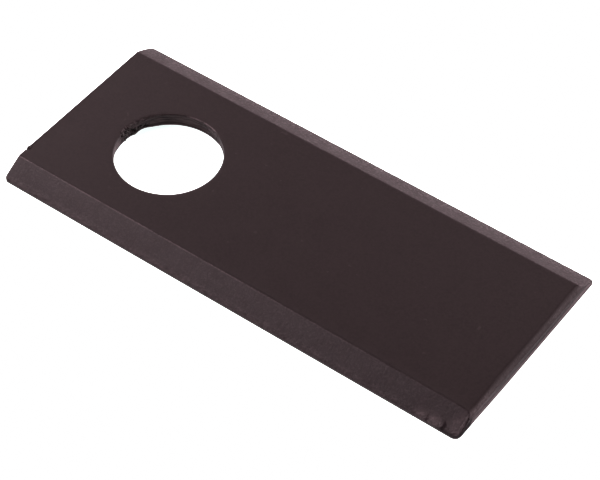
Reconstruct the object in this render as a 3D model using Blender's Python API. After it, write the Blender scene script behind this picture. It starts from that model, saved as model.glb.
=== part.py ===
"""Rotary mower blade: a flat steel swinging knife, cut from ground bar and punched for its pivot stud.

Frame, in metres: the blade lies flat, bevels up. The origin is the middle of its footprint on the
underside. +X runs along the blade from the punched end to the plain end, +Y runs across it to the
far cutting edge, and +Z points up out of the bevelled face.
"""

import math

import bmesh
import bpy
from mathutils import Matrix, Vector

MM = 0.001

# ---- the bar: a flat plate with a bevel ground along both long edges ----
LENGTH = 91.8 * MM
WIDTH = 40.0 * MM
THICKNESS = 2.85 * MM
BEVEL_RUN = 4.1 * MM            # width of the near bevel, seen from above
FAR_BEVEL_RUN = 4.2 * MM        # and of the far one
EDGE_LAND = 0.55 * MM           # upright strip left under each bevel, the cutting edge
# radius of each corner, seen from above: the near corner of the plain end is the roundest
PLAIN_NEAR_CORNER, PLAIN_FAR_CORNER = 1.30 * MM, 0.45 * MM
PUNCHED_NEAR_CORNER, PUNCHED_FAR_CORNER = 0.60 * MM, 0.70 * MM

# ---- the sheared ends ----
ROLL_WIDTH = 1.02 * MM          # plain end: how far in the shear draws the upper edge over
ROLL_DEPTH = 0.62 * MM          # and how far down
SAG_WIDTH = 3.0 * MM            # the flat droops very slightly before it
SAG_DEPTH_NEAR, SAG_DEPTH_FAR = 0.12 * MM, 0.045 * MM
FAR_ROLL_WIDTH = 0.80 * MM      # the far bevel is drawn over too, and the near one is cut clean
FAR_ROLL_DEPTH = 0.30 * MM
UNDER_ROLL_WIDTH = 0.70 * MM    # punched end: cut from the other side, so it is rounded underneath
UNDER_ROLL_DEPTH = 0.26 * MM

# ---- the pivot hole: punched from above ----
HOLE_X = -LENGTH / 2 + 20.0 * MM
HOLE_Y = -0.6 * MM
HOLE_RADIUS = 9.41 * MM         # the smooth band under the upper rim
HOLE_LIP = 0.13 * MM            # the upper rim is rounded out by this much
HOLE_LIP_DEPTH = 0.22 * MM
BREAKOUT_RADIUS = 9.80 * MM     # the broken lower part opens out to this at the underside
BREAKOUT_START = 0.42           # height of the break line, as a share of the thickness
HOLE_SEGMENTS = 144

# ---- the torn patch in the hole's wall, towards the punched end ----
TEAR_FROM, TEAR_TO = 149.0, 188.0      # degrees round the hole from +X
TEAR_LOW, TEAR_HIGH = 1.4 * MM, 3.2 * MM   # height that it reaches at the first and at the second
TEAR_ROUGHNESS = 0.13 * MM
CHIP_ANGLE, CHIP_HALF, CHIP_DEPTH = 152.0, 11.0, 0.20 * MM
TONGUE_ANGLE, TONGUE_HALF, TONGUE_HEIGHT = 166.5, 5.5, 0.20 * MM

# ---- knocks on the near edge, beside the plain end, and the burr on the punched end ----
# each is (x, y of its middle, length along X, width across the bevel, depth)
KNOCKS = (
    (38.6 * MM, -19.35 * MM, 1.5 * MM, 1.1 * MM, 0.05 * MM),
    (40.9 * MM, -19.30 * MM, 1.9 * MM, 1.3 * MM, 0.07 * MM),
)
# the steel that each pushed up into a low lip beside it: the same five, with a height
LIPS = (
    (39.5 * MM, -19.25 * MM, 0.8 * MM, 0.8 * MM, 0.05 * MM),
    (42.2 * MM, -19.20 * MM, 1.3 * MM, 1.3 * MM, 0.16 * MM),
)
BURR_Y = -13.5 * MM
BURR_LENGTH = 0.9 * MM
BURR_WIDTH = 0.35 * MM
BURR_HEIGHT = 0.24 * MM

FLANK_SLOPE = (THICKNESS - EDGE_LAND) / BEVEL_RUN


def shear_drop(distance, width, depth):
    """How far a sheared edge is drawn over at this distance from the end: a quarter ellipse."""
    if distance >= width:
        return 0.0
    across = (width - distance) / width
    return depth * (1.0 - math.sqrt(max(0.0, 1.0 - across * across)))


def end_roll(distance, width, depth):
    """The same at the plain end's upper edge: a quick start, then a steady slope down to the cut."""
    share = min(1.0, max(0.0, 1.0 - distance / width))
    return depth * (0.55 * share ** 2 + 0.45 * share ** 1.5)


def corner_pull(distance, radius):
    """How far a rounded corner takes the outline in from the long edge, near an end."""
    if distance >= radius:
        return 0.0
    into = radius - distance
    return radius - math.sqrt(max(0.0, radius ** 2 - into * into))


def section(x):
    """The bar's outline across its length at x: six points, from the near lower corner round."""
    to_plain, to_punched = LENGTH / 2 - x, LENGTH / 2 + x
    plain_half = to_plain < to_punched
    to_end = min(to_plain, to_punched)
    corners = (PLAIN_NEAR_CORNER, PLAIN_FAR_CORNER) if plain_half else (PUNCHED_NEAR_CORNER, PUNCHED_FAR_CORNER)
    under = shear_drop(to_punched, UNDER_ROLL_WIDTH, UNDER_ROLL_DEPTH)
    droop = max(0.0, 1.0 - to_plain / SAG_WIDTH) ** 2
    far_drop = end_roll(to_plain, FAR_ROLL_WIDTH, FAR_ROLL_DEPTH)
    half = []
    for radius, sag, drop, run in zip(corners, (SAG_DEPTH_NEAR, SAG_DEPTH_FAR), (0.0, far_drop), (BEVEL_RUN, FAR_BEVEL_RUN)):
        slope = (THICKNESS - EDGE_LAND) / run
        side = WIDTH / 2 - corner_pull(to_end, radius)
        land_top = EDGE_LAND + (WIDTH / 2 - side) * slope - drop
        top = THICKNESS - end_roll(to_plain, ROLL_WIDTH, ROLL_DEPTH) - sag * droop
        crease = WIDTH / 2 - (top + drop - EDGE_LAND) / slope
        half.append((side, land_top, crease, top))
    (near_side, near_land, near_crease, near_top), (far_side, far_land, far_crease, far_top) = half
    return [
        Vector((x, -near_side, under)), Vector((x, far_side, under)),
        Vector((x, far_side, far_land)), Vector((x, far_crease, far_top)),
        Vector((x, -near_crease, near_top)), Vector((x, -near_side, near_land)),
    ]


def stations():
    """Places along the bar to take a section: close together where the ends are rounded."""
    zone, steps = 1.4 * MM, 14
    near_end = [zone * (1.0 - math.cos(math.pi / 2 * k / steps)) for k in range(steps + 1)]
    near_end += [1.75 * MM, 2.15 * MM, 2.55 * MM, SAG_WIDTH]
    left = [-LENGTH / 2 + s for s in near_end]
    right = [LENGTH / 2 - s for s in reversed(near_end)]
    return left + right


def skin(bm, rings):
    """Join rings of points, one after the next, into one closed body with both ends capped."""
    rows = [[bm.verts.new(point) for point in ring] for ring in rings]
    count = len(rows[0])
    for low, high in zip(rows, rows[1:]):
        for k in range(count):
            n = (k + 1) % count
            bm.faces.new((low[k], low[n], high[n], high[k]))
    bm.faces.new(list(reversed(rows[0])))
    bm.faces.new(rows[-1])
    bmesh.ops.recalc_face_normals(bm, faces=bm.faces)


def make_bar():
    """The plate, drawn out section by section from the punched end to the plain end."""
    bm = bmesh.new()
    skin(bm, [section(x) for x in stations()])
    return bm


def window(angle, middle, half):
    """1 at the middle angle, falling smoothly to 0 at half a width either side."""
    away = abs((angle - middle + 180.0) % 360.0 - 180.0) / half
    return 0.0 if away >= 1.0 else 0.5 + 0.5 * math.cos(math.pi * away)


def hole_radius(angle, height):
    """The wall's distance from the hole's axis, at an angle in degrees and a height over the underside."""
    from_top = THICKNESS - height
    radius = HOLE_RADIUS
    if from_top < HOLE_LIP_DEPTH:
        up = (HOLE_LIP_DEPTH - max(from_top, 0.0)) / HOLE_LIP_DEPTH
        radius += HOLE_LIP * (1.0 - math.sqrt(max(0.0, 1.0 - up * up)))
    break_line = BREAKOUT_START * THICKNESS
    if height < break_line:
        down = min(1.0, (break_line - height) / break_line)
        radius += (BREAKOUT_RADIUS - HOLE_RADIUS) * down
        # the broken edge is chipped back beside a tongue of metal that leans into the hole
        radius += CHIP_DEPTH * window(angle, CHIP_ANGLE, CHIP_HALF) * down
        radius -= TONGUE_HEIGHT * window(angle, TONGUE_ANGLE, TONGUE_HALF) * down
    middle, half = (TEAR_FROM + TEAR_TO) / 2, (TEAR_TO - TEAR_FROM) / 2
    torn = min(1.0, 1.6 * window(angle, middle, half))
    reach = TEAR_LOW + (TEAR_HIGH - TEAR_LOW) * (angle - TEAR_FROM) / (TEAR_TO - TEAR_FROM)
    torn *= min(1.0, max(0.0, (reach + 0.15 * MM - height) / (0.3 * MM)))
    if torn > 0.0:
        a, h = math.radians(angle), height / MM
        lumps = (
            0.55 * math.sin(61.0 * a + 2.1 * h)
            + 0.45 * math.sin(97.0 * a - 3.7 * h + 1.3)
            + 0.60 * math.sin(37.0 * a + 5.3 * h + 0.4)
        )
        radius += TEAR_ROUGHNESS * torn * (0.35 + 0.5 * lumps)
    return radius


def make_hole_cutter():
    """A plug of the hole's shape: rings stacked up the wall, joined and closed at both ends."""
    bm = bmesh.new()
    lip = [THICKNESS - HOLE_LIP_DEPTH * s for s in (1.0, 0.62, 0.3, 0.08, 0.0)]
    wall = [THICKNESS * s for s in (0.0, 0.1, 0.2, 0.32, 0.42, 0.56, 0.7, 0.82)]
    levels = [-0.6 * MM] + wall + lip + [THICKNESS + 0.6 * MM]
    rings = []
    for z in levels:
        at = min(max(z, 0.0), THICKNESS)
        ring = []
        for k in range(HOLE_SEGMENTS):
            angle = 360.0 * k / HOLE_SEGMENTS
            r, a = hole_radius(angle, at), math.radians(angle)
            ring.append((HOLE_X + r * math.cos(a), HOLE_Y + r * math.sin(a), z))
        rings.append(ring)
    skin(bm, rings)
    return bm


def make_bowls(places, sign):
    """Low caps, one for each place on the near bevel: sign -1 to press them in, 1 to stand them up."""
    bm = bmesh.new()
    tilt = math.atan(FLANK_SLOPE)
    outward = Vector((0.0, -math.sin(tilt), math.cos(tilt)))
    for x, y, length, width, depth in places:
        surface = Vector((x, y, EDGE_LAND + (y + WIDTH / 2) * FLANK_SLOPE))
        # an ellipsoid whose cap of this depth is as long and as wide as the mark
        rise = 0.35 * MM if sign > 0 else 0.9 * MM
        share = math.sqrt(1.0 - ((rise - depth) / rise) ** 2)
        size = Matrix.Diagonal((length / 2 / share, width / 2 / share, rise, 1.0))
        place = Matrix.Translation(surface - outward * sign * (rise - depth)) @ Matrix.Rotation(tilt, 4, "X")
        bmesh.ops.create_uvsphere(bm, u_segments=28, v_segments=18, radius=1.0, matrix=place @ size)
    return bm


def make_burr():
    """The sliver of metal that stands up on the punched end's upper edge, rooted in the plate."""
    bm = bmesh.new()
    end, half = -LENGTH / 2 + 0.004 * MM, BURR_LENGTH / 2
    foot = THICKNESS - 0.25 * MM
    rows = []
    for share, height in ((-1.0, 0.02), (-0.45, 0.55), (0.1, 1.0), (0.5, 0.5), (1.0, 0.02)):
        y, top = BURR_Y + share * half, THICKNESS + BURR_HEIGHT * height
        rows.append([
            (end, y, foot), (end + BURR_WIDTH, y, foot),
            (end + BURR_WIDTH * 0.55, y, top - 0.3 * (top - THICKNESS)), (end, y, top),
        ])
    skin(bm, rows)
    return bm


def make_object(name, bm, guide=False):
    mesh = bpy.data.meshes.new(name)
    bm.to_mesh(mesh)
    bm.free()
    obj = bpy.data.objects.new(name, mesh)
    bpy.context.scene.collection.objects.link(obj)
    if guide:
        obj.hide_render = True
        obj.display_type = "WIRE"
    return obj


def boolean(obj, tool, operation):
    modifier = obj.modifiers.new(f"{operation.lower()}_{tool.name}", "BOOLEAN")
    modifier.operation = operation
    modifier.solver = "EXACT"
    modifier.object = tool


def blackened_steel():
    """Hardened steel under a thin dark brown-black coat."""
    material = bpy.data.materials.new("blackened_steel")
    material.use_nodes = True
    shader = material.node_tree.nodes["Principled BSDF"]
    shader.inputs["Base Color"].default_value = (0.040, 0.028, 0.029, 1.0)
    shader.inputs["Roughness"].default_value = 0.45
    shader.inputs["Metallic"].default_value = 0.0
    return material


for old_object in list(bpy.data.objects):
    bpy.data.objects.remove(old_object, do_unlink=True)

blade = make_object("blade", make_bar())
blade.data.materials.append(blackened_steel())
boolean(blade, make_object("burr_shape", make_burr(), guide=True), "UNION")
boolean(blade, make_object("hole_shape", make_hole_cutter(), guide=True), "DIFFERENCE")
boolean(blade, make_object("knock_shape", make_bowls(KNOCKS, -1), guide=True), "DIFFERENCE")
boolean(blade, make_object("lip_shape", make_bowls(LIPS, 1), guide=True), "UNION")
blade.data.shade_smooth()
blade.data.set_sharp_from_angle(angle=math.radians(25.0))
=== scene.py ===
import math

import bpy
import numpy as np
from mathutils import Matrix, Vector


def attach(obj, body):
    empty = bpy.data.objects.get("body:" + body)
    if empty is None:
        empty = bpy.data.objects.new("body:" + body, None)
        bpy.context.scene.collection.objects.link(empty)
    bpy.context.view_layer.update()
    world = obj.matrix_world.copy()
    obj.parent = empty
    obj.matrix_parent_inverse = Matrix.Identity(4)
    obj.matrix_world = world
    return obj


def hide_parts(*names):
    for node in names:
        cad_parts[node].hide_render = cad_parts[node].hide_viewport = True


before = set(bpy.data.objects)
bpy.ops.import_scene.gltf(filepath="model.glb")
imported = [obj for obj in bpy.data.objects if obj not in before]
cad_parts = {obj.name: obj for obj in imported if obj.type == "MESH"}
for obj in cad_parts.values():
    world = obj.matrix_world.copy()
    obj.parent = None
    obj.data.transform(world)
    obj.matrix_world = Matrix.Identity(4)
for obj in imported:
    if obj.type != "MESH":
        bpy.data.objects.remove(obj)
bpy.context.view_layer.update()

MM = 0.001

# ---------------------------------------------------------------- camera
# Placed by fitting a pinhole camera to the blade's outline, creases and hole.
EYE = Vector((144.549, -199.357, 272.974)) * MM
RIGHT = Vector((0.806280, 0.591467, 0.008953))
DOWN = Vector((0.445638, -0.597396, -0.666726))
AHEAD = Vector((-0.388998, 0.541557, -0.745249))
FOCAL_PX = 2213.897

camera = bpy.data.objects.new("camera", bpy.data.cameras.new("camera"))
bpy.context.scene.collection.objects.link(camera)
turn = Matrix((RIGHT, -DOWN, -AHEAD)).transposed().to_4x4()
camera.matrix_world = Matrix.Translation(EYE) @ turn
camera.data.sensor_fit = "HORIZONTAL"
camera.data.sensor_width = 36.0
camera.data.lens = FOCAL_PX * 36.0 / 600.0
camera.data.clip_start = 0.01
camera.data.clip_end = 50.0
bpy.context.scene.camera = camera

# The darks are shown as they are, and the pale floor is lifted to white.
shown = bpy.context.scene.view_settings
shown.view_transform = "Standard"
shown.use_curve_mapping = True
for lift, knee, white in zip(shown.curve_mapping.curves, (0.213, 0.170, 0.181), (0.442, 0.362, 0.3835)):
    lift.points[0].location, lift.points[1].location = (0.0, 0.0), (1.0, 1.0)
    for place in ((knee, knee), (white, 0.999)):
        lift.points.new(*place)
    for point in lift.points:
        point.handle_type = "VECTOR"
shown.curve_mapping.update()

# ---------------------------------------------------------------- the blade's dimensions, as in the solid
HALF_L, HALF_W, THICK = 45.9, 20.0, 2.85
BEVEL, FAR_BEVEL, LAND = 4.1, 4.2, 0.55
CORNERS = {(1, -1): 1.30, (1, 1): 0.45, (-1, 1): 0.70, (-1, -1): 0.60}      # radius in plan at each corner, by the signs of x and y
HOLE = np.array((-25.9, -0.6))
R_WALL, R_LIP, LIP_DEEP, R_BREAK = 9.41, 0.13, 0.22, 9.80
# centre along, centre in from the cutting edge, half length, half depth, height of the lip
KNOCKS = ((38.85, 0.55, 1.05, 1.00, 0.055), (41.45, 0.45, 1.45, 1.35, 0.20))

# ---------------------------------------------------------------- smooth repeatable noise
def lattice(ix, iy, iz, seed):
    n = (ix.astype(np.int64) * 374761393 + iy.astype(np.int64) * 668265263
         + iz.astype(np.int64) * 2147483647 + seed * 1274126177) & 0xFFFFFFFF
    n = ((n ^ (n >> 13)) * 1103515245) & 0xFFFFFFFF
    n = ((n ^ (n >> 16)) * 2654435761) & 0xFFFFFFFF
    return ((n ^ (n >> 15)) & 0xFFFFFF) / float(0xFFFFFF) * 2.0 - 1.0


def noise(x, y, z=0.0, seed=0):
    """Smooth value noise between -1 and 1, one cell to a unit."""
    x, y, z = np.broadcast_arrays(np.asarray(x, float), np.asarray(y, float), np.asarray(z, float))
    fx, fy, fz = np.floor(x), np.floor(y), np.floor(z)
    ux, uy, uz = x - fx, y - fy, z - fz
    ux, uy, uz = (u * u * u * (u * (u * 6 - 15) + 10) for u in (ux, uy, uz))
    total = 0.0
    for dx in (0, 1):
        for dy in (0, 1):
            for dz in (0, 1):
                w = (ux if dx else 1 - ux) * (uy if dy else 1 - uy) * (uz if dz else 1 - uz)
                total = total + w * lattice(fx + dx, fy + dy, fz + dz, seed)
    return total


def fractal(x, y, z=0.0, seed=0, octaves=4, gain=0.5):
    total, size = 0.0, 1.0
    for k in range(octaves):
        total = total + size * noise(np.asarray(x) * 2 ** k, np.asarray(y) * 2 ** k, np.asarray(z) * 2 ** k, seed + 17 * k)
        size *= gain
    return total


def smooth(lo, hi, v):
    t = np.clip((np.asarray(v, float) - lo) / (hi - lo), 0, 1)
    return t * t * (3 - 2 * t)


def soft_min(a, b, k):
    h = np.clip(0.5 + 0.5 * (b - a) / k, 0, 1)
    return b * (1 - h) + a * h - k * h * (1 - h)


def drawn_over(distance, width, depth):
    """Drop of a sheared edge at a distance from the end: a quarter ellipse."""
    q = np.clip((width - distance) / width, 0, 1)
    return depth * (1 - np.sqrt(np.maximum(0, 1 - q * q)))


# ---------------------------------------------------------------- the bevelled face
def corner_pull(x, side):
    """How far a rounded corner takes the outline in from the long edge on one side."""
    radius = CORNERS[(1 if x > 0 else -1, side)]
    into = min(max(radius - (HALF_L - abs(x)), 0), radius)
    return radius - math.sqrt(max(0, radius ** 2 - into ** 2))


def ground(e, round_off=0.035, crown=0.030, width=BEVEL):
    """Height of a bevel at a distance from its cutting edge: very slightly crowned, with a worn outer strip."""
    t = np.clip(e / width, 0, 1)
    return LAND + e * (THICK - LAND) / width + crown * 4 * t * (1 - t) - drawn_over(e, 0.42, round_off)


def knocks(x, e):
    """Dents on the near cutting edge by the plain end, each pushed up to the right into a small lip."""
    total = 0.0
    for cx, ce, rx, ry, high in KNOCKS:
        u, v = (x - cx) / rx, (e - ce) / ry
        wobble = 0.07 * noise(x * 2.3, e * 2.3, seed=11)
        q = np.sqrt(np.maximum(u, 0) ** 2 + v * v * np.where(v > 0, 1.0, 0.8)) + wobble
        rise = np.clip((u + 1) / 2, 0, 1)
        total = total + high * rise ** 1.2 * (1 - smooth(0.80, 1.22, q)) * (1 - smooth(-0.1, 0.95, v))
    # the tip is swollen and a little folded where the shear caught it
    swell = 0.12 * smooth(42.9, 46.6, x) * smooth(3.4, 0.6, e)
    far = np.hypot(x - 45.6, (e + 0.3) * 1.3)
    folds = 0.024 * np.cos(far * 2 * math.pi / 0.62) * smooth(2.1, 1.1, far)
    grit = 0.018 * noise(x * 5.2, e * 5.2, seed=12) * smooth(1.5, 0.3, e) * smooth(36.8, 38.2, x) * smooth(45.6, 43.5, x)
    return total + swell + folds + grit


def end_roll(d, width, depth):
    """How far the edge is drawn down at a distance from the end: a quick start, then a steady slope."""
    t = np.clip(1 - d / width, 0, 1)
    return depth * (0.55 * t ** 2 + 0.45 * t ** 1.5)


def upper(x, y):
    """Height of the bevelled face."""
    plain, punched = HALF_L - x, HALF_L + x
    across = (y + HALF_W) / (2 * HALF_W)
    e_near, e_far = y + HALF_W, HALF_W - y
    near = ground(e_near) * (1 - end_roll(plain, 0.20, 0.02))
    far = ground(e_far, 0.02, 0.125, FAR_BEVEL) - end_roll(plain, 0.80, 0.30)
    # the end was drawn down by the shear, most at its near corner
    reach = 1.02 - 0.14 * smooth(-5.0, -13.0, y) + 0.10 * noise(y * 0.16, 6.2, seed=9)
    top = THICK - end_roll(plain, reach, 0.62 - 0.11 * smooth(-5.0, -13.0, y)) - (0.045 + 0.075 * smooth(0.5, 0.0, across)) * np.clip(1 - plain / 3.0, 0, 1) ** 2
    z = soft_min(soft_min(near, far, 0.10), top, 0.10)
    z = z + knocks(x, e_near) * smooth(3.4, 2.6, e_near)
    # small nicks along both cutting edges
    for e, seed in ((e_near, 81), (e_far, 82)):
        nick = np.clip(noise(x * 2.1, 0.4, seed=seed) * 0.6 + noise(x * 0.8, 2.4, seed=seed + 5) * 0.5 - 0.15, 0, 1)
        z = z - 0.10 * nick * smooth(0.40, 0.0, e)
    # the punched end is cut from below, so its upper edge stands up in a fine ragged burr
    ragged = np.clip(0.55 + 0.9 * noise(y * 1.7, 3.1, seed=5) + 0.5 * noise(y * 6.1, 1.2, seed=6), 0, 2)
    z = z + 0.022 * ragged * smooth(0.22, 0.0, punched) * smooth(HALF_W - 4.5, HALF_W - 5.5, np.abs(y))
    # one sliver is left standing near the corner, with a torn notch beside it
    sliver = smooth(-14.02, -13.80, y) * smooth(-12.95, -13.55, y)
    z = z + 0.225 * sliver * smooth(0.50, 0.12, punched) - 0.16 * smooth(-14.45, -14.22, y) * smooth(-13.86, -14.05, y) * smooth(0.45, 0.05, punched)
    return z


def on_bevel(x, y):
    """1 on the ground bevels, 0 on the flat."""
    plain = HALF_L - x
    e = HALF_W - np.abs(y)
    top = THICK - drawn_over(plain, 0.98, 0.5)
    return smooth(-0.05, 0.05, top - ground(e, width=np.where(y > 0, FAR_BEVEL, BEVEL)) + drawn_over(plain, 0.9, 0.3))


def under(x):
    """Height of the flat underside, drawn up at the punched end."""
    return drawn_over(HALF_L + x, 0.70, 0.26)


def spaced(lo, hi, step):
    n = max(1, int(round((hi - lo) / step)))
    return [lo + (hi - lo) * k / n for k in range(n)]


def quarter(lo, hi, n):
    """n steps from lo to hi, closest together at lo."""
    return [lo + (hi - lo) * (1 - math.cos(math.pi / 2 * k / n)) for k in range(n)]


SQUARE = 12.6
west, east, south, north = HOLE[0] - SQUARE, HOLE[0] + SQUARE, HOLE[1] - SQUARE, HOLE[1] + SQUARE
x_lines = (quarter(-HALF_L, -HALF_L + 1.0, 11) + spaced(-HALF_L + 1.0, west, 0.5) + spaced(west, east, 0.5)
           + spaced(east, 37.3, 0.5) + spaced(37.3, 44.7, 0.115)
           + [44.7 + (HALF_L - 44.7) * math.sin(math.pi / 2 * k / 16) for k in range(17)])
side_lines = (spaced(0, 0.15, 0.03) + spaced(0.15, 0.6, 0.075) + spaced(0.6, 2.4, 0.12) + spaced(2.4, 3.6, 0.17)
              + spaced(3.6, 4.6, 0.075))
y_lines = ([-HALF_W + e for e in side_lines] + spaced(-15.4, -14.5, 0.45) + spaced(-14.5, south, 0.12)
           + spaced(south, -12.6, 0.12) + spaced(-12.6, north, 0.55) + spaced(north, 15.4, 0.55) + [15.4] + [HALF_W - e for e in side_lines[::-1]])
X, Y = np.array(x_lines), np.array(y_lines)
NX, NY = len(X), len(Y)

points, faces = [], []
MASKS = ("ground", "torn", "worn", "dull", "crest", "polish", "grey", "grainy")
mask = {name: [] for name in MASKS}


def add_points(p, **values):
    start = len(points)
    points.extend(map(tuple, np.asarray(p, float)))
    for name in MASKS:
        mask[name].extend(np.broadcast_to(values.get(name, 0.0), (len(p),)).tolist())
    return start + np.arange(len(p))


def patch(number, lines_x, lines_y, up):
    for i in range(len(lines_x) - 1):
        for j in range(len(lines_y) - 1):
            q = (number[i, j], number[i + 1, j], number[i + 1, j + 1], number[i, j + 1])
            mx, my = (lines_x[i] + lines_x[i + 1]) / 2, (lines_y[j] + lines_y[j + 1]) / 2
            if min(q) >= 0 and not (west < mx < east and south < my < north):
                faces.append(tuple(q if up else q[::-1]))


top = -np.ones((NX, NY), int)
for i in range(NX):
    reach, side = 2.6, np.abs(Y)
    pull = np.where(Y > 0, corner_pull(X[i], 1), corner_pull(X[i], -1))
    y = np.sign(Y) * np.where(side > HALF_W - reach,
                              HALF_W - reach + (side - HALF_W + reach) * (reach - pull) / reach, side)
    x = np.full(NY, X[i])
    keep = np.flatnonzero(~((west + 1e-6 < X[i] < east - 1e-6) & (south + 1e-6 < Y) & (Y < north - 1e-6)))
    z = upper(x, y)
    e = HALF_W - np.abs(y)
    near_side = y < 0
    worn = smooth(np.where(near_side, 1.0, 0.4), 0.05, e) * (0.50 + 0.50 * noise(x * 1.3, y, seed=91))
    worn = worn * np.where(near_side, smooth(46.0, -10.0, x) * 0.9 + 0.5, 0.6)
    fleck = noise(x * 3.2, e * 4.5, seed=97) * 0.7 + noise(x * 1.1, e * 2.0, seed=98) * 0.5
    by_edge = near_side * smooth(1.15, 0.25, e) * smooth(HALF_L - 8.5, HALF_L - 10.0, x)
    worn = np.maximum(worn, 0.45 * smooth(0.30, 0.0, HALF_L - x) * smooth(3.0, 4.2, e))
    # the crease to the near bevel carries a painted highlight, brightest toward the punched end
    crest = 0.72 * np.exp(-((e - 4.00) / 0.085) ** 2) * near_side * (0.25 + 0.75 * smooth(38, -20, x))
    crest = crest * (0.75 + 0.35 * noise(x * 0.45, 2.2, seed=93) + 0.25 * noise(x * 1.9, 0.2, seed=94)) * smooth(0.9, 1.6, HALF_L - x)
    crest = np.maximum(crest, by_edge * np.clip(fleck * 1.0 - 0.35, 0, 0.22))
    # a faint painted sheen along the near cutting edge, brighter toward the punched end; a pale strip lies along the
    # plain end's top edge by the near corner
    crest = np.maximum(crest, 0.055 * near_side * smooth(0.75, 0.15, e) * smooth(24, -30, x))
    crest = np.maximum(crest, 0.10 * smooth(0.85, 0.45, HALF_L - x) * smooth(-10.0, -13.0, y) * smooth(-16.4, -15.8, y))
    dull = by_edge * np.clip(-fleck * 1.2 - 0.45, 0, 0.40)
    # painted shade: the top darkens toward the plain end, and a painted dark line runs on the flat beside the near
    # crease; the near cutting edge is darker by the tip
    dull = np.maximum(dull, 0.17 * smooth(0.95, 0.55, HALF_L - x) * smooth(-14.0, -9.0, y) * smooth(17.0, 14.0, y))
    dull = np.maximum(dull, 0.65 * near_side * smooth(0.34, 0.10, e) * smooth(41.6, 42.6, x))
    dull = np.maximum(dull, 0.75 * near_side * np.exp(-((e - 4.32) / 0.12) ** 2) * smooth(-14, 4, x) * smooth(1.0, 1.8, HALF_L - x)
                      * (0.75 + 0.5 * noise(x * 0.7, 5.2, seed=96)))
    # pale places, partly rubbed and partly painted highlight: the dents' floors, the tip, and the last of the crease
    rub_and_highlight = 0.0
    for cx, ce, rx, ry, high in KNOCKS:
        rub_and_highlight = rub_and_highlight + np.exp(-((x - cx + 0.2 * rx) / (0.75 * rx)) ** 2 - ((e - ce) / (0.7 * ry)) ** 2)
    rub_and_highlight = rub_and_highlight + 0.6 * np.exp(-((x - 44.4) / 1.1) ** 2 - ((e - 1.5) / 1.2) ** 2) + 0.35 * np.exp(-((x - 44.9) / 0.6) ** 2 - ((e - 3.0) / 0.9) ** 2)
    worn = np.maximum(worn, 0.8 * rub_and_highlight * near_side)
    crest = np.maximum(crest, 0.46 * rub_and_highlight * near_side * (0.8 + 0.4 * noise(x * 3, e * 3, seed=95)))
    top[i, keep] = add_points(np.stack([x, y, z], 1)[keep], ground=on_bevel(x, y)[keep], worn=np.clip(worn, 0, 1)[keep],
                              crest=np.clip(crest, 0, 1)[keep], dull=dull[keep],
                              grainy=np.maximum(on_bevel(x, y) * np.where(near_side, 0.10 + 0.20 * smooth(1.15, 0.35, e), 0.30 + 0.70 * smooth(2.6, 0.7, e)),
                                        np.maximum(0.42 * smooth(0.85, 0.30, HALF_L - x), 0.13 * smooth(5.6, 4.3, e)))[keep])
patch(top, X, Y, True)


def square_loop(number, lines_x, lines_y):
    i0, i1 = (int(np.argmin(np.abs(np.array(lines_x) - v))) for v in (west, east))
    j0, j1 = (int(np.argmin(np.abs(np.array(lines_y) - v))) for v in (south, north))
    return np.concatenate([number[i0:i1, j0], number[i1, j0:j1], number[i1:i0:-1, j1], number[i0, j1:j0:-1]])


def outline(number):
    return np.concatenate([number[:-1, 0], number[-1, :-1], number[:0:-1, -1], number[0, :0:-1]])


def strip(lower, higher):
    n = len(lower)
    for k in range(n):
        m = (k + 1) % n
        faces.append((lower[k], lower[m], higher[m], higher[k]))


def zip_loops(outer, inner, up, centre):
    """Fill between two loops that both go once round a centre, anticlockwise."""
    p = np.array([points[i] for i in outer])[:, :2] - centre
    q = np.array([points[i] for i in inner])[:, :2] - centre
    pa, qa = np.arctan2(p[:, 1], p[:, 0]), np.unwrap(np.arctan2(q[:, 1], q[:, 0]))
    shift = int(np.argmin(np.abs((pa - qa[0] + math.pi) % (2 * math.pi) - math.pi)))
    outer, pa = np.roll(outer, -shift), np.unwrap(np.roll(pa, -shift))
    pa = pa + round((qa[0] - pa[0]) / (2 * math.pi)) * 2 * math.pi
    n, m, i, j = len(outer), len(inner), 0, 0
    while i < n or j < m:
        step_p = pa[(i + 1) % n] + (2 * math.pi if i + 1 >= n else 0) if i < n else 1e9
        step_q = qa[(j + 1) % m] + (2 * math.pi if j + 1 >= m else 0) if j < m else 1e9
        if step_p <= step_q:
            tri = (outer[i % n], outer[(i + 1) % n], inner[j % m])
            i += 1
        else:
            tri = (outer[i % n], inner[(j + 1) % m], inner[j % m])
            j += 1
        faces.append(tri if up else tri[::-1])


# ---------------------------------------------------------------- the upright band round the outline
rim_top = outline(top)
a = np.array(points)[rim_top]
step = np.roll(a[:, :2], -1, 0) - np.roll(a[:, :2], 1, 0)
out = np.stack([step[:, 1], -step[:, 0]], 1)
out /= np.linalg.norm(out, axis=1)[:, None]
b = a.copy()
b[:, 2] = under(a[:, 0])
bowed = 0.12 * smooth(-6.0, -19.0, a[:, 1]) * (a[:, 0] > 0)     # the cut bends in towards the near corner
plain_end, punched_end = smooth(0.75, 1.0, out[:, 0]), smooth(0.75, 1.0, -out[:, 0])
long_side = 1 - plain_end - punched_end
tight = 0.035 * long_side                      # the lower corner is broken a little all round
b[:, :2] -= out * (tight + plain_end * bowed)[:, None]
# the plain end's bottom edge is painted pale, partly bare steel and partly a painted reflection of the floor, and is
# darker at the near corner
rim_low = add_points(b, worn=0.35 * plain_end, crest=plain_end * smooth(-16.3, -15.9, a[:, 1]), dull=plain_end * smooth(-15.9, -16.3, a[:, 1]), torn=0.4 * (plain_end + punched_end), ground=long_side, grainy=plain_end)
rows, LEVELS = [rim_low], 18
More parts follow.
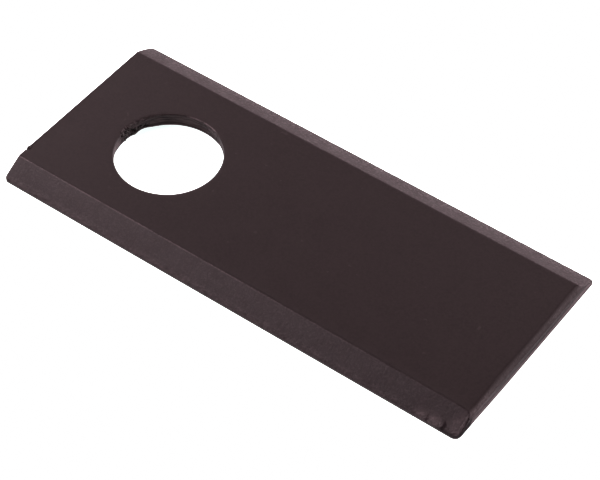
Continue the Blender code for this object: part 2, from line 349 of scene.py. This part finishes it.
for k in range(1, LEVELS):
    h = k / LEVELS
    p = a * h + b * (1 - h)
    p[:, :2] = a[:, :2]
    z, s = p[:, 2], p[:, 1]
    # plain end: smooth below the rounded edge, then a fine step, then a coarser break down to the bottom
    line = 0.92 + 1.08 * smooth(-8.5, -15.0, s) + 0.10 * noise(s * 0.35, 0.7, seed=21) + 0.05 * noise(s * 1.9, 0.2, seed=22)
    broken = smooth(0.06, -0.06, z - line)
    rough = fractal(s * 1.6, z * 3.4, 0.5, seed=23, octaves=3, gain=0.6)
    near_tip = smooth(-15.9, -16.35, s)
    far_foot = 0.5 * smooth(6.0, 16.0, s)
    foot = smooth(0.98 + far_foot, 0.50 + far_foot, z)
    wide = smooth(-8.0, -13.0, s) * smooth(-16.2, -15.6, s) * smooth(2.6, 1.9, z)
    inset = (broken * (0.020 + 0.012 * rough)
             + 0.004 * (1 + noise(s * 4, z * 0.7, seed=24)) + near_tip * (0.01 + 0.015 * rough))
    # punched end: the same upside down
    line2 = 1.45 + 0.18 * noise(s * 0.31, 4.7, seed=31)
    broken2 = smooth(-0.06, 0.10, z - line2)
    rough2 = fractal(s * 1.6, z * 3.2, 7.5, seed=33, octaves=3, gain=0.6)
    inset2 = broken2 * (0.03 + 0.05 * smooth(1.3, 2.6, z) * smooth(THICK, THICK - 0.2, z) + 0.015 * rough2) + 0.004 * (1 + noise(s * 4, z * 0.7, seed=34))
    ripple = 0.006 * (1 + noise(p[:, 0] * 2.0, z * 2, seed=41)) + tight * np.clip(1 - z / 0.10, 0, 1)
    fade = np.clip((1 - h) * 8, 0, 1)
    lean = plain_end * bowed * smooth(2.2, 0.0, z)
    p[:, :2] -= out * lean[:, None]
    move = (plain_end * np.maximum(inset, 0) + punched_end * np.maximum(inset2, 0)) * fade + long_side * ripple
    p[:, :2] -= out * move[:, None]
    # the plain end's foot is painted pale, partly bare steel and partly a painted reflection of the floor, with a pale
    # grainy patch by the near corner; the end under the near bevel is painted darker as painted shade, and a darker
    # band runs along the end just above the break
    rows.append(add_points(
        p, ground=long_side + plain_end * near_tip, grainy=np.maximum(0.40 * long_side, 0.75 * plain_end), torn=np.clip(plain_end * broken * (1 - near_tip) * 0.9 + punched_end * broken2, 0, 1),
        worn=plain_end * broken * (1 - near_tip) * (0.60 + 0.4 * rough) + 0.35 * long_side,
        crest=plain_end * np.maximum(foot * (1 - near_tip) * np.clip(1.15 + 0.5 * rough, 0, 1.35), 0.50 * wide * np.clip(0.8 + 0.6 * rough, 0, 1)),
        dull=np.clip(plain_end * (near_tip * (0.50 + 0.50 * smooth(1.7, 1.0, z)) + 0.30 * np.exp(-((z - 1.15) / 0.24) ** 2) * smooth(-4.0, 2.0, s) * smooth(15.0, 12.0, s)) + 0.55 * long_side * (s < 0) * smooth(41.6, 42.6, p[:, 0]), 0, 1)))
rows.append(rim_top)
for lower, higher in zip(rows, rows[1:]):
    strip(lower, higher)

# ---------------------------------------------------------------- the underside
loop = rim_low
first = b
for d in (0.06, 0.14, 0.24, 0.36, 0.52, 0.72, 1.0):
    p = first.copy()
    p[:, 0] *= (HALF_L - d) / HALF_L
    p[:, 1] *= (HALF_W - d) / HALF_W
    p[:, 2] = under(p[:, 0])
    inner = add_points(p, torn=0)
    strip(inner, loop)
    loop = inner
x_low = spaced(-43.4, west, 1.7) + spaced(west, east, 1.8) + spaced(east, 43.4, 2.0) + [43.4]
y_low = spaced(-17.4, south, 1.5) + spaced(south, north, 1.8) + spaced(north, 17.4, 1.5) + [17.4]
low = -np.ones((len(x_low), len(y_low)), int)
for i, xv in enumerate(x_low):
    for j, yv in enumerate(y_low):
        if not (west + 1e-6 < xv < east - 1e-6 and south + 1e-6 < yv < north - 1e-6):
            low[i, j] = add_points([(xv, yv, 0.0)])[0]
patch(low, x_low, y_low, False)
zip_loops(loop, outline(low), False, np.zeros(2))

# ---------------------------------------------------------------- the hole
RIM = 480
theta = np.arange(RIM) * 2 * math.pi / RIM
deg = np.degrees(theta)
ring_x, ring_y = np.cos(theta), np.sin(theta)
cx3, cy3 = ring_x * 9.45, ring_y * 9.45


def hump(angle, middle, half):
    away = np.abs((angle - middle + 180) % 360 - 180) / half
    return np.where(away < 1, 0.5 + 0.5 * np.cos(math.pi * np.clip(away, 0, 1)), 0)


# torn from 150 to 188 degrees, ending sharply at its left
tear = smooth(147.5, 153.0, deg) * smooth(188.6, 186.2, deg)
chipped = smooth(129, 140, deg) * smooth(189, 184, deg)
# the wall is rubbed smooth at its two sides, and is drier across its far part
sides = np.maximum(smooth(68, 52, deg) + smooth(300, 330, deg), smooth(184, 190, deg) * smooth(250, 235, deg))


torn_top = np.interp(deg, (150, 164, 176, 182, 189), (1.45, 1.80, 2.70, 3.0, 3.3))


def wall(z):
    """The wall's distance from the axis at one height, and how broken and how dull it is there, with painted shade and
    painted highlights.
    """
    z = np.broadcast_to(np.asarray(z, float), (RIM,))
    line = THICK * 0.42 + 0.20 * noise(cx3 * 0.22, cy3 * 0.22, seed=51) + 0.06 * noise(cx3 * 1.3, cy3 * 1.3, seed=52)
    down = np.clip((line - z) / line, 0, 1)
    r = R_WALL + (R_BREAK - R_WALL) * down
    r = r + 0.22 * hump(deg, 154, 12) * down - 0.20 * hump(deg, 166.0, 5.0) * down
    broken = smooth(0.0, 0.12, line - z)
    r = r + broken * 0.020 * fractal(cx3 * 2.2, cy3 * 2.2, z * 3, seed=53, octaves=3) * smooth(0.0, 0.15, z)
    r = r + (1 - broken) * 0.004 * noise(cx3 * 5, cy3 * 5, z * 0.25, seed=54)
    # fine steps run round the wall, deepest in its lower half
    r = r + 0.045 * noise(cx3 * 0.45, cy3 * 0.45, z * 3.0, seed=57) * smooth(0.0, 0.2, z) * (0.35 + 0.65 * smooth(2.0, 1.2, z))
    # the torn patch: crags and pits left where the metal pulled away
    crag = fractal(cx3 * 1.7, cy3 * 1.7, z * 3.4, seed=60, octaves=4, gain=0.7)
    pits = np.clip(1 - 3.2 * np.abs(fractal(cx3 * 2.2, cy3 * 2.2, z * 3.6, seed=66, octaves=2, gain=0.5)), 0, 1)
    open_ = smooth(-0.05, 0.30, z) * (1 - 0.35 * smooth(THICK - 0.5, THICK, z))
    torn_here = tear * smooth(0.16, -0.16, z - torn_top - 0.25 * noise(cx3 * 1.1, cy3 * 1.1, seed=68))
    r = r + torn_here * (0.08 + 0.18 * crag + 0.34 * pits) * open_
    crumbs = np.clip(fractal(cx3 * 3.3, cy3 * 3.3, z * 4.4, seed=75, octaves=2, gain=0.6) * 4.0 + 0.25, 0, 1)
    # a pale streak high on the wall's left, partly rubbed and partly a painted reflection of the floor
    rub_and_reflection = smooth(188, 196, deg) * smooth(232, 214, deg) * smooth(THICK - 0.1, THICK - 0.9, z) * (0.8 + 0.4 * noise(cx3 * 2.2, cy3 * 2.2, z * 0.8, seed=79))
    # painted shade: the far wall darkens toward its foot
    foot_shade = 1.0 * smooth(60, 72, deg) * smooth(160, 146, deg) * smooth(1.75, 0.75, z)
    # the right side is patchy, paler and darker in places
    right = smooth(38, 50, deg) * smooth(92, 80, deg)
    patchy = fractal(cx3 * 2.8, cy3 * 2.8, z * 2.4, seed=83, octaves=2, gain=0.6)
    # in the torn patch the pits are painted dark as painted shade
    return {"r": r, "torn": np.maximum(broken * 0.35, torn_here), "polish": (1 - 0.6 * broken) * (1 - tear) * sides,
            "grey": smooth(70, 92, deg) * smooth(240, 184, deg) * (1 - torn_here), "grainy": 0.95 * smooth(38, 52, deg) * smooth(95, 84, deg),
            "dull": np.maximum(torn_here * np.clip(-0.10 + 1.2 * pits + 0.5 * crag, 0, 1) * (1 - crumbs) * smooth(152, 164, deg), np.maximum(foot_shade, right * np.clip(-1.1 * patchy - 0.15, 0, 0.5))),
            "worn": np.maximum(torn_here * crumbs, rub_and_reflection), "crest": np.maximum(np.maximum(0.46 * torn_here * crumbs, 0.66 * rub_and_reflection), right * np.clip(0.55 * patchy - 0.05, 0, 0.30))}


def ring(r, z, **values):
    return add_points(np.stack([HOLE[0] + r * ring_x, HOLE[1] + r * ring_y, np.broadcast_to(z, (RIM,))], 1), **values)


rings = [ring(np.full(RIM, r), THICK) for r in (12.0, 11.4, 10.9, 10.5, 10.25)]
chips = np.clip(0.15 + 0.85 * fractal(cx3 * 1.5, cy3 * 1.5, 0.3, seed=70, octaves=3), 0, 1)
chew = chipped * chips
glint = smooth(62, 74, deg) * smooth(112, 103, deg)      # a stretch of the rim is drawn wider and carries a painted highlight
glint = np.clip(glint * (1.0 + 0.35 * noise(cx3 * 0.8, cy3 * 0.8, seed=72)), 0, 1)
STEPS = 12
base = wall(THICK - LIP_DEEP)["r"]
lip = R_LIP + chipped * (0.10 + 0.30 * chips) + 0.50 * hump(deg, 173, 16) * (0.6 + 0.6 * chips) + 0.13 * glint
deep = LIP_DEEP + 0.30 * chew + 0.12 * hump(deg, 173, 16)
for k in range(STEPS + 1):
    t = math.pi / 2 * k / STEPS
    lumps = chipped * fractal(cx3 * 2.4, cy3 * 2.4, k * 0.45, seed=77, octaves=2, gain=0.6)
    r = base + lip * (1 - math.sin(t)) + 0.04 * lumps * math.sin(t)
    z = THICK - deep * (1 - math.cos(t)) - 0.05 * np.maximum(lumps, 0) * math.sin(2 * t)
    share = min(1, k / 4)
    # the lip carries a painted highlight, bright along the glint and faint elsewhere except at the two polished sides
    rings.append(ring(r, z, torn=chipped * share * (0.35 + 0.45 * hump(deg, 170, 20)), dull=chipped * share * np.clip(-0.1 - 0.9 * lumps, 0, 0.7),
                      worn=chipped * share * np.clip(0.1 + 1.6 * lumps, 0, 0.9),
                      crest=np.maximum(glint * (0.75 + 0.4 * noise(cx3 * 1.6, cy3 * 1.6, seed=73)), 0.22 * (1 - sides)) * math.sin(2 * t), polish=sides * math.sin(t)))
z_start = THICK - deep
WALL = 44
for k in range(1, WALL):
    z = z_start * (1 - k / WALL)
    at = wall(z)
    rings.append(ring(at.pop("r"), z, **at))
r_low = wall(0.0)["r"]
rings.append(ring(r_low, 0.03, torn=0.6))
rings.append(ring(r_low + 0.03, 0.0))
for r in (10.2, 10.6, 11.2, 12.0):
    rings.append(ring(np.full(RIM, r), 0.0))
for lower, higher in zip(rings, rings[1:]):
    strip(higher, lower)
zip_loops(square_loop(top, X, Y), rings[0], True, HOLE)
zip_loops(square_loop(low, x_low, y_low), rings[-1], False, HOLE)

# ---------------------------------------------------------------- the mesh
mesh = bpy.data.meshes.new("mower_blade")
mesh.from_pydata((np.array(points) * MM).tolist(), [], faces)
mesh.update()
for name in MASKS:
    layer = mesh.attributes.new(name, "FLOAT", "POINT")
    layer.data.foreach_set("value", np.array(mask[name], dtype=np.float32))
mesh.shade_smooth()
mesh.set_sharp_from_angle(angle=math.radians(32.0))
blade = bpy.data.objects.new("mower_blade", mesh)
bpy.context.scene.collection.objects.link(blade)


# ---------------------------------------------------------------- the finish
class Graph:
    """Short ways to add nodes."""

    def __init__(self, tree):
        self.nodes, self.links = tree.nodes, tree.links

    def node(self, kind, **settings):
        made = self.nodes.new(kind)
        for key, value in settings.items():
            setattr(made, key, value)
        return made

    def put(self, socket, value):
        if isinstance(value, bpy.types.NodeSocket):
            self.links.new(value, socket)
        else:
            socket.default_value = value

    def mask(self, name):
        return self.node("ShaderNodeAttribute", attribute_name=name).outputs["Fac"]

    def sum(self, kind, a, b, c=None, clamp=False):
        made = self.node("ShaderNodeMath", operation=kind, use_clamp=clamp)
        for socket, value in zip(made.inputs, (a, b, c)):
            if value is not None:
                self.put(socket, value)
        return made.outputs[0]

    def span(self, value, lo, hi, new_lo, new_hi):
        made = self.node("ShaderNodeMapRange", clamp=True)
        for socket, v in zip(made.inputs, (value, lo, hi, new_lo, new_hi)):
            self.put(socket, v)
        return made.outputs[0]

    def blend(self, factor, a, b, kind="MIX"):
        made = self.node("ShaderNodeMix", data_type="RGBA", blend_type=kind)
        self.put(made.inputs[0], factor)
        self.put(made.inputs[6], a)
        self.put(made.inputs[7], b)
        return made.outputs[2]

    def stretched(self, scale):
        made = self.node("ShaderNodeMapping")
        made.inputs["Scale"].default_value = scale
        self.links.new(self.place, made.inputs["Vector"])
        return made.outputs[0]

    def noise(self, scale, detail=3.0, rough=0.55, stretch=None):
        made = self.node("ShaderNodeTexNoise")
        self.links.new(self.stretched(stretch) if stretch else self.place, made.inputs["Vector"])
        made.inputs["Scale"].default_value = scale
        made.inputs["Detail"].default_value = detail
        made.inputs["Roughness"].default_value = rough
        return made.outputs["Fac"]


coat = bpy.data.materials.new("blackened_steel_coat")
coat.use_nodes = True
g = Graph(coat.node_tree)
shader = g.nodes["Principled BSDF"]
g.place = g.node("ShaderNodeTexCoord").outputs["Object"]
is_ground, is_torn, is_worn, is_dull, is_crest, is_polish, is_grey, is_grainy = (g.mask(name) for name in MASKS)

# colour: a thin brown-black coat, faintly clouded, with small pale specks, and thinner where the edges are worn
clouds = g.noise(140, 4, 0.6)
fine = g.noise(1100, 3, 0.6)
colour = g.blend(g.span(clouds, 0.35, 0.65, 0, 1), (0.0178, 0.0116, 0.0114, 1), (0.0214, 0.0141, 0.0140, 1))
colour = g.blend(g.span(fine, 0.40, 0.60, 0.0, 0.55), colour, (0.0133, 0.0090, 0.0088, 1))
colour = g.blend(g.span(g.noise(2600, 2, 0.6), 0.40, 0.62, 0.0, 0.65), colour, (0.0290, 0.0204, 0.0202, 1))
mottle = g.noise(420, 2, 0.5)
colour = g.blend(g.span(mottle, 0.40, 0.62, 0.0, 0.30), colour, (0.0242, 0.0166, 0.0164, 1))
specks = g.span(g.noise(900, 1, 0.3), 0.775, 0.81, 0, 0.5)
colour = g.blend(specks, colour, (0.055, 0.043, 0.044, 1))
lines = g.noise(1.0, 3, 0.75, (1700, 110, 110))
colour = g.blend(g.sum("MULTIPLY", is_ground, 0.45), colour, (0.0255, 0.0172, 0.0212, 1))
colour = g.blend(g.sum("MULTIPLY", is_ground, g.span(lines, 0.50, 0.64, 0.0, 0.75)), colour, (0.0390, 0.0275, 0.0330, 1))
colour = g.blend(g.sum("MULTIPLY", is_ground, g.span(lines, 0.36, 0.50, 0.65, 0.0)), colour, (0.0120, 0.0076, 0.0098, 1))
colour = g.blend(g.sum("MULTIPLY", is_ground, g.span(mottle, 0.40, 0.60, 0.40, 0.0)), colour, (0.0160, 0.0108, 0.0132, 1))
speckle = g.noise(2200, 2, 0.7)
colour = g.blend(g.sum("MULTIPLY", is_grainy, g.span(speckle, 0.50, 0.62, 0.0, 0.9)), colour, (0.066, 0.052, 0.058, 1))
colour = g.blend(g.sum("MULTIPLY", is_grainy, g.span(speckle, 0.36, 0.48, 0.8, 0.0)), colour, (0.0085, 0.0068, 0.0070, 1))
glitter = g.noise(2500, 1, 0.5)
colour = g.blend(g.sum("MULTIPLY", g.sum("MULTIPLY", is_grainy, is_ground), g.span(glitter, 0.52, 0.66, 0.0, 1.0)), colour, (0.160, 0.135, 0.142, 1))
grain = g.noise(3300, 3, 0.7)
colour = g.blend(g.sum("MULTIPLY", is_worn, g.span(grain, 0.35, 0.62, 0.25, 1.0)), colour, (0.046, 0.033, 0.035, 1))
# darker coat: dark flecks, and painted shade beside the crease, in the torn pits, at the wall's foot and under the near
# bevel's end
colour = g.blend(g.sum("MULTIPLY", is_dull, 0.85), colour, (0.006, 0.004, 0.004, 1))
# the far part of the hole's wall is dry, streaked round and spotted
stripes = g.noise(1.0, 3, 0.6, (420, 420, 3400))
colour = g.blend(g.sum("MULTIPLY", is_grey, 0.75), colour, (0.0520, 0.0350, 0.0350, 1))
colour = g.blend(g.sum("MULTIPLY", is_grey, g.span(stripes, 0.36, 0.50, 0.9, 0.0)), colour, (0.0035, 0.0026, 0.0024, 1))
colour = g.blend(g.sum("MULTIPLY", is_grey, g.span(stripes, 0.53, 0.64, 0.0, 0.8)), colour, (0.0950, 0.0720, 0.0700, 1))
grit = g.noise(1700, 3, 0.65)
colour = g.blend(g.sum("MULTIPLY", is_torn, g.span(grit, 0.42, 0.58, 0.75, 0.0)), colour, (0.008, 0.0055, 0.0055, 1))
colour = g.blend(g.sum("MULTIPLY", is_torn, g.span(grit, 0.55, 0.68, 0.0, 0.6)), colour, (0.070, 0.055, 0.057, 1))
# pale rubbed places, with painted highlights on the crease, the rim and the dents, and a painted reflection of the
# floor along the plain end's foot and the wall's left streak
colour = g.blend(g.sum("MULTIPLY", is_crest, g.span(grain, 0.38, 0.60, 0.35, 1.0)), colour, (0.245, 0.200, 0.208, 1))
# crumbs in the torn hole are a duller grey
along = g.node("ShaderNodeSeparateXYZ")
g.put(along.inputs[0], g.place)
crumbly = g.sum("MULTIPLY", g.sum("MULTIPLY", is_torn, is_worn), g.span(along.outputs[0], -0.012, -0.006, 0.85, 0.0))
colour = g.blend(crumbly, colour, (0.130, 0.140, 0.130, 1))
g.put(shader.inputs["Base Color"], colour)

# roughness: satin, drier where the steel broke
rough = g.span(g.noise(260, 4, 0.6), 0.3, 0.7, 0.37, 0.46)
rough = g.sum("ADD", rough, g.sum("MULTIPLY", is_torn, g.span(grain, 0.3, 0.7, 0.10, 0.26)))
rough = g.sum("ADD", rough, g.sum("MULTIPLY", is_ground, g.span(lines, 0.35, 0.65, -0.03, 0.035)))
rough = g.sum("ADD", rough, g.sum("MULTIPLY", is_grainy, g.span(speckle, 0.38, 0.62, -0.14, 0.18)))
rough = g.sum("ADD", rough, g.sum("MULTIPLY", is_ground, g.span(mottle, 0.38, 0.62, -0.025, 0.025)))
rough = g.sum("ADD", rough, g.sum("MULTIPLY", is_dull, 0.45))
rough = g.sum("ADD", rough, g.sum("MULTIPLY", is_grey, 0.08))
rough = g.sum("SUBTRACT", rough, g.sum("MULTIPLY", is_polish, g.span(fine, 0.3, 0.7, 0.06, 0.12)))
rough = g.sum("SUBTRACT", rough, g.sum("MULTIPLY", is_crest, 0.10), clamp=True)
g.put(shader.inputs["Roughness"], rough)


# relief: the coat's fine grain, grinding lines across the bevels, and grit on the breaks
def bump(height, strength, distance, under_it=None):
    made = g.node("ShaderNodeBump")
    made.inputs["Strength"].default_value = strength
    made.inputs["Distance"].default_value = distance
    g.put(made.inputs["Height"], height)
    if under_it is not None:
        g.put(made.inputs["Normal"], under_it)
    return made.outputs["Normal"]


relief = bump(g.noise(2600, 2, 0.6), 0.35, 0.000006)
relief = bump(g.noise(330, 3, 0.5), 0.5, 0.000010, relief)
relief = bump(g.sum("MULTIPLY", is_ground, lines), 1.0, 0.000017, relief)
relief = bump(g.sum("MULTIPLY", is_grainy, speckle), 1.0, 0.000170, relief)
relief = bump(g.sum("MULTIPLY", is_grey, stripes), 1.0, 0.000260, relief)
relief = bump(g.sum("MULTIPLY", is_torn, g.noise(2400, 4, 0.7)), 1.0, 0.00011, relief)
g.put(shader.inputs["Normal"], relief)
mesh.materials.append(coat)

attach(blade, "root")
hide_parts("blade")

# ---------------------------------------------------------------- floor and light
LIGHT_TINT = (1.0, 0.758, 0.807)
FLOOR_GLOW = 0.38
GLOW_TINT = (1.0, 0.88, 0.92)
floor_mesh = bpy.data.meshes.new("floor")
floor_mesh.from_pydata([(-4, -4, 0), (4, -4, 0), (4, 4, 0), (-4, 4, 0)], [], [(0, 1, 2, 3)])
floor = bpy.data.objects.new("floor", floor_mesh)
bpy.context.scene.collection.objects.link(floor)
floor.location.z = -0.00002
pale = bpy.data.materials.new("pale_floor")
pale.use_nodes = True
pale.node_tree.nodes["Principled BSDF"].inputs["Base Color"].default_value = (0.50, 0.50, 0.50, 1)
pale.node_tree.nodes["Principled BSDF"].inputs["Roughness"].default_value = 0.9
pale.node_tree.nodes["Principled BSDF"].inputs["Specular IOR Level"].default_value = 0.0
# it is lit a little from within, as a light table is
pale.node_tree.nodes["Principled BSDF"].inputs["Emission Color"].default_value = (*GLOW_TINT, 1)
pale.node_tree.nodes["Principled BSDF"].inputs["Emission Strength"].default_value = FLOOR_GLOW
floor_mesh.materials.append(pale)

world = bpy.data.worlds.new("studio")
bpy.context.scene.world = world
world.use_nodes = True
world.node_tree.nodes["Background"].inputs["Color"].default_value = (1, 1, 1, 1)
world.node_tree.nodes["Background"].inputs["Strength"].default_value = 0.005


def softbox(name, toward, width, height, power, distance=1.1):
    light = bpy.data.lights.new("softbox_" + name, "AREA")
    light.shape = "RECTANGLE"
    light.size, light.size_y = width, height
    light.energy = power
    light.color = LIGHT_TINT
    obj = bpy.data.objects.new("softbox_" + name, light)
    bpy.context.scene.collection.objects.link(obj)
    obj.location = Vector(toward).normalized() * distance
    obj.rotation_euler = (-obj.location).to_track_quat("-Z", "Y").to_euler()


for row in (
        ("crown_near", (-0.70, -0.12, 0.70), 0.30, 0.30, 3.419),
        ("back_left", (-0.75, 0.50, 0.60), 0.40, 0.40, 1.320),
        ("back", (-0.35, 1.00, 0.16), 0.90, 0.30, 1.651),
        ("back_high", (-0.25, 0.80, 0.75), 0.40, 0.40, 0.622),
        ("front_left", (-0.55, -0.66, 0.55), 0.40, 0.40, 1.599),
        ("front_high", (-0.36, -0.36, 0.90), 0.35, 0.35, 0.840),
        ("back_right", (0.75, 0.56, 0.38), 0.40, 0.40, 2.352),
        ("roll_mid", (0.48, 0.54, 0.60), 0.35, 0.35, 0.345),
        ("back_right_far", (0.35, 0.90, 0.35), 0.40, 0.40, 4.600)):
    softbox(*row)
